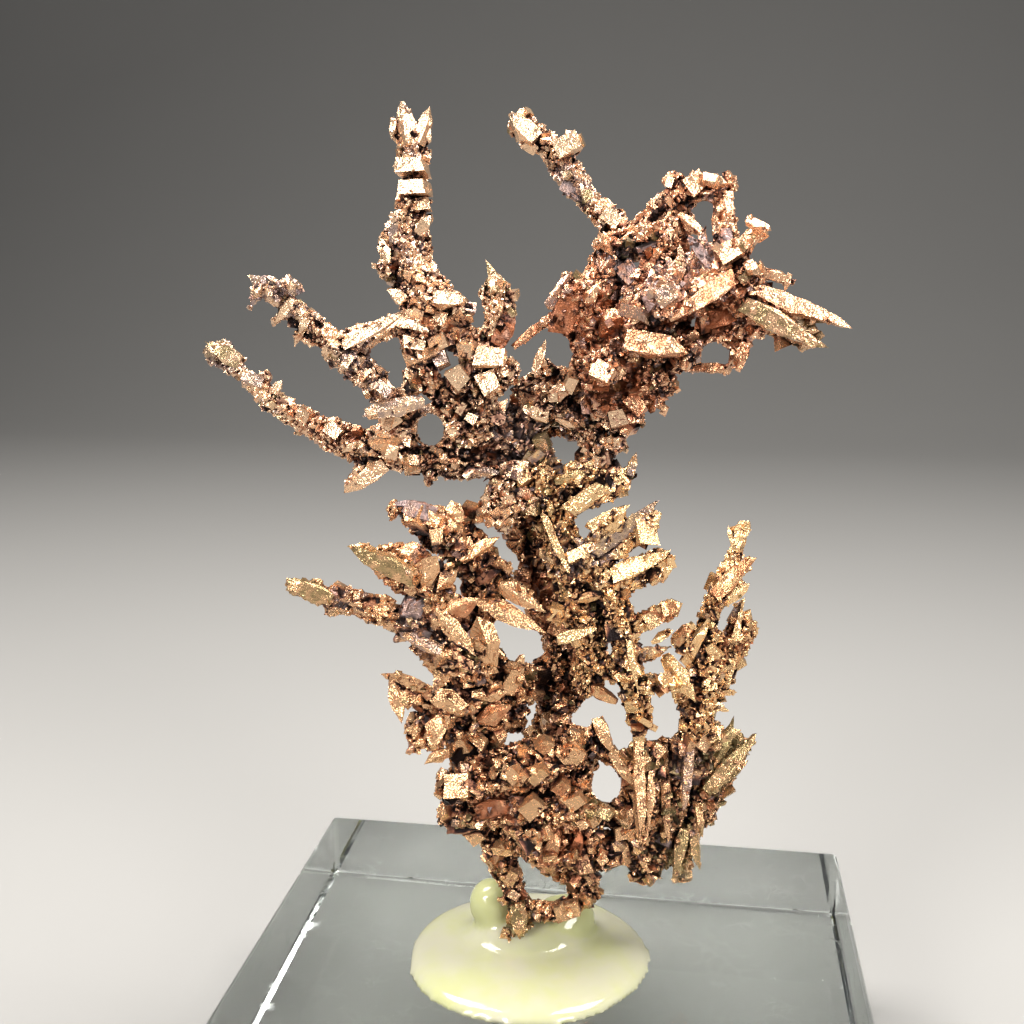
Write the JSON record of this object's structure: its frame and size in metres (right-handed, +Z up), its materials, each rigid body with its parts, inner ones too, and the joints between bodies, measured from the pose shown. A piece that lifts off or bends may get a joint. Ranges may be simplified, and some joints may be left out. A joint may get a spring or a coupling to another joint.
{
  "type": "native copper specimen",
  "caption": "Branching native copper crystal group, a dendritic mineral specimen, held upright by a pad of glue on a clear square acrylic display block.",
  "frame": {"origin": "centre of the display block's underside", "axes": "+Z up, from the block to the copper's top; -Y towards the viewer, square to the block's front face; +X to the viewer's right"},
  "size_m": [0.0397, 0.0382, 0.063],
  "materials": {
    "acrylic": "polished",
    "glue": "gloss",
    "copper": "satin"
  },
  "bodies": {
    "root": {"display_block": "acrylic", "glue_pad": "glue", "root_mass": "copper", "stem": "copper", "hub": "copper", "right_cluster": "copper", "left_fan": "copper", "right_fern": "copper", "right_blades": "copper", "right_fan": "copper", "low_left_arm": "copper", "high_left_arm": "copper", "top_spire": "copper", "top_right_arm": "copper", "back_spray": "copper", "back_fan": "copper"}
  },
  "joints": []
}
